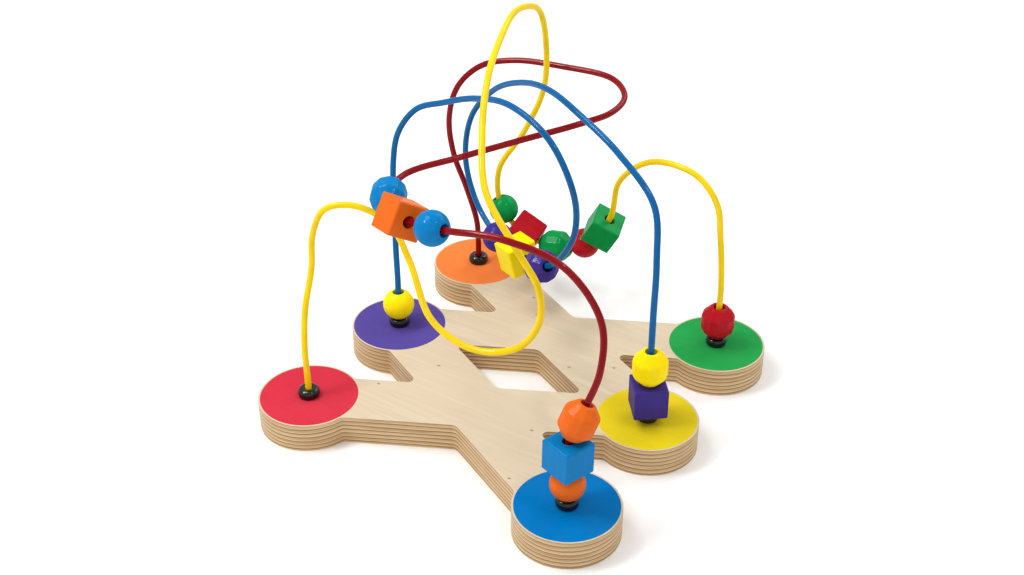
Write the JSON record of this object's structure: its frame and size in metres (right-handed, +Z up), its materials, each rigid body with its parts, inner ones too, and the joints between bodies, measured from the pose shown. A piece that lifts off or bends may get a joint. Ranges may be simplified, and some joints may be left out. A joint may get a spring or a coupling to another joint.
{
  "type": "wire bead maze toy",
  "caption": "Wooden bead maze with coloured lacquered beads threaded on looping coated wires that stand on a flat plywood base with painted round pads.",
  "frame": {"origin": "centre of the square footprint, on the underside of the plywood base", "axes": "+Z up out of the base; -Y towards the front edge of the base; +X to the right. The two columns of round pads lie at -X and +X."},
  "size_m": [0.305, 0.3086, 0.2872],
  "materials": {
    "plywood": "satin",
    "black_lacquer": "gloss",
    "zinc_steel": "satin",
    "red_paint": "satin",
    "purple_paint": "satin",
    "orange_paint": "satin",
    "blue_paint": "satin",
    "yellow_paint": "satin",
    "green_paint": "satin",
    "red_lacquer": "gloss",
    "purple_lacquer": "gloss",
    "orange_lacquer": "gloss",
    "blue_lacquer": "gloss",
    "yellow_lacquer": "gloss",
    "green_lacquer": "gloss",
    "yellow_coating": "gloss",
    "blue_coating": "gloss",
    "red_coating": "gloss"
  },
  "bodies": {
    "frame": {"base_board": "plywood", "red_disc": "red_paint", "red_collar": "black_lacquer", "red_washer": "zinc_steel", "red_nut": "zinc_steel", "purple_disc": "purple_paint", "purple_collar": "black_lacquer", "purple_washer": "zinc_steel", "purple_nut": "zinc_steel", "orange_disc": "orange_paint", "orange_collar": "black_lacquer", "orange_washer": "zinc_steel", "orange_nut": "zinc_steel", "blue_disc": "blue_paint", "blue_collar": "black_lacquer", "blue_washer": "zinc_steel", "blue_nut": "zinc_steel", "yellow_disc": "yellow_paint", "yellow_collar": "black_lacquer", "yellow_washer": "zinc_steel", "yellow_nut": "zinc_steel", "green_disc": "green_paint", "green_collar": "black_lacquer", "green_washer": "zinc_steel", "green_nut": "zinc_steel", "yellow_wire": "yellow_coating", "blue_wire": "blue_coating", "red_wire": "red_coating"},
    "green_ball": {"green_ball": "green_lacquer"},
    "red_cube": {"red_cube": "red_lacquer"},
    "green_faceted": {"green_faceted": "green_lacquer"},
    "red_ball": {"red_ball": "red_lacquer"},
    "green_cube": {"green_cube": "green_lacquer"},
    "red_faceted": {"red_faceted": "red_lacquer"},
    "yellow_ball": {"yellow_ball": "yellow_lacquer"},
    "purple_faceted": {"purple_faceted": "purple_lacquer"},
    "yellow_cube": {"yellow_cube": "yellow_lacquer"},
    "purple_ball": {"purple_ball": "purple_lacquer"},
    "yellow_faceted": {"yellow_faceted": "yellow_lacquer"},
    "purple_cube": {"purple_cube": "purple_lacquer"},
    "blue_faceted": {"blue_faceted": "blue_lacquer"},
    "orange_cube": {"orange_cube": "orange_lacquer"},
    "blue_ball": {"blue_ball": "blue_lacquer"},
    "orange_faceted": {"orange_faceted": "orange_lacquer"},
    "blue_cube": {"blue_cube": "blue_lacquer"},
    "orange_ball": {"orange_ball": "orange_lacquer"}
  },
  "joints": [
    {"name": "green_ball_travel", "type": "hinge", "parent": "frame", "child": "green_ball", "pos_m": [-0.0508, 0.137, 0.0953], "axis": [-0.1488, 0.9887, 0.0163], "range_deg": [0, 62]},
    {"name": "red_cube_travel", "type": "hinge", "parent": "frame", "child": "red_cube", "pos_m": [-0.0575, 0.1356, 0.0947], "axis": [-0.1363, 0.9906, 0.0127], "range_deg": [0, 33]},
    {"name": "green_cube_travel", "type": "hinge", "parent": "frame", "child": "green_cube", "pos_m": [-0.0836, 0.0905, 0.1188], "axis": [0.3902, -0.8711, -0.2983], "range_deg": [0, 22]},
    {"name": "red_ball_travel", "type": "hinge", "parent": "frame", "child": "red_ball", "pos_m": [-0.0528, 0.1279, 0.0999], "axis": [0.166, -0.9735, -0.1573], "range_deg": [0, 21]},
    {"name": "green_faceted_travel", "type": "hinge", "parent": "frame", "child": "green_faceted", "pos_m": [-0.0558, 0.1337, 0.0999], "axis": [0.1281, -0.9905, -0.0501], "range_deg": [0, 8]},
    {"name": "red_faceted_travel", "type": "hinge", "parent": "frame", "child": "red_faceted", "pos_m": [-0.2939, -0.3257, 0.0437], "axis": [0.7321, -0.6794, -0.0499], "range_deg": [0, 5.6]},
    {"name": "purple_faceted_travel", "type": "hinge", "parent": "frame", "child": "purple_faceted", "pos_m": [-0.0785, 0.0707, 0.2033], "axis": [-0.4853, -0.8621, -0.1461], "range_deg": [-2, 16]},
    {"name": "yellow_cube_travel", "type": "slide", "parent": "frame", "child": "yellow_cube", "axis": [-0.8777, 0.4624, -0.1259], "range_m": [-0.004, 0.004]},
    {"name": "purple_ball_travel", "type": "hinge", "parent": "frame", "child": "purple_ball", "pos_m": [-0.0701, 0.0827, 0.1406], "axis": [0.4745, 0.8797, 0.0307], "range_deg": [-3, 28]},
    {"name": "yellow_ball_travel", "type": "hinge", "parent": "frame", "child": "yellow_ball", "pos_m": [-0.1686, 0.0665, 0.0348], "axis": [-0.7733, -0.634, 0.0101], "range_deg": [0, 32]},
    {"name": "yellow_faceted_travel", "type": "hinge", "parent": "frame", "child": "yellow_faceted", "pos_m": [0.0093, 0.2339, 0.0641], "axis": [-0.9127, -0.4085, -0.003], "range_deg": [0, 13.2]},
    {"name": "purple_cube_travel", "type": "slide", "parent": "frame", "child": "purple_cube", "axis": [0, 0, 1], "range_m": [0, 0.02]},
    {"name": "blue_faceted_travel", "type": "hinge", "parent": "frame", "child": "blue_faceted", "pos_m": [-0.0241, -0.0379, 0.1886], "axis": [0.0466, 0.0259, -0.9986], "range_deg": [-2, 55]},
    {"name": "orange_cube_travel", "type": "hinge", "parent": "frame", "child": "orange_cube", "pos_m": [-0.0134, -0.0247, 0.2077], "axis": [-0.2393, -0.1826, 0.9536], "range_deg": [-3, 3]},
    {"name": "blue_ball_travel", "type": "hinge", "parent": "frame", "child": "blue_ball", "pos_m": [0.0223, 0.064, 0.1361], "axis": [-0.1532, 0.3657, 0.918], "range_deg": [-1, 10]},
    {"name": "orange_faceted_travel", "type": "hinge", "parent": "frame", "child": "orange_faceted", "pos_m": [-0.1023, -0.1198, 0.1639], "axis": [0.1434, -0.9437, 0.2981], "range_deg": [0, 7.5]},
    {"name": "blue_cube_travel", "type": "hinge", "parent": "frame", "child": "blue_cube", "pos_m": [0.1488, -0.0684, 0.0648], "axis": [-0.7947, 0.6069, 0.0003], "range_deg": [0, 15]},
    {"name": "orange_ball_travel", "type": "slide", "parent": "frame", "child": "orange_ball", "axis": [0, 0, 1], "range_m": [0, 0.006]}
  ],
  "couplings": [
    {"joint": "red_cube_travel", "follows": "green_ball_travel", "ratio": 0.53},
    {"joint": "red_ball_travel", "follows": "green_cube_travel", "ratio": 0.95},
    {"joint": "green_faceted_travel", "follows": "green_cube_travel", "ratio": 0.36},
    {"joint": "purple_cube_travel", "follows": "yellow_faceted_travel", "m_per_rad": 0.085},
    {"joint": "blue_cube_travel", "follows": "orange_faceted_travel", "ratio": 2},
    {"joint": "orange_ball_travel", "follows": "orange_faceted_travel", "m_per_rad": 0.045}
  ]
}
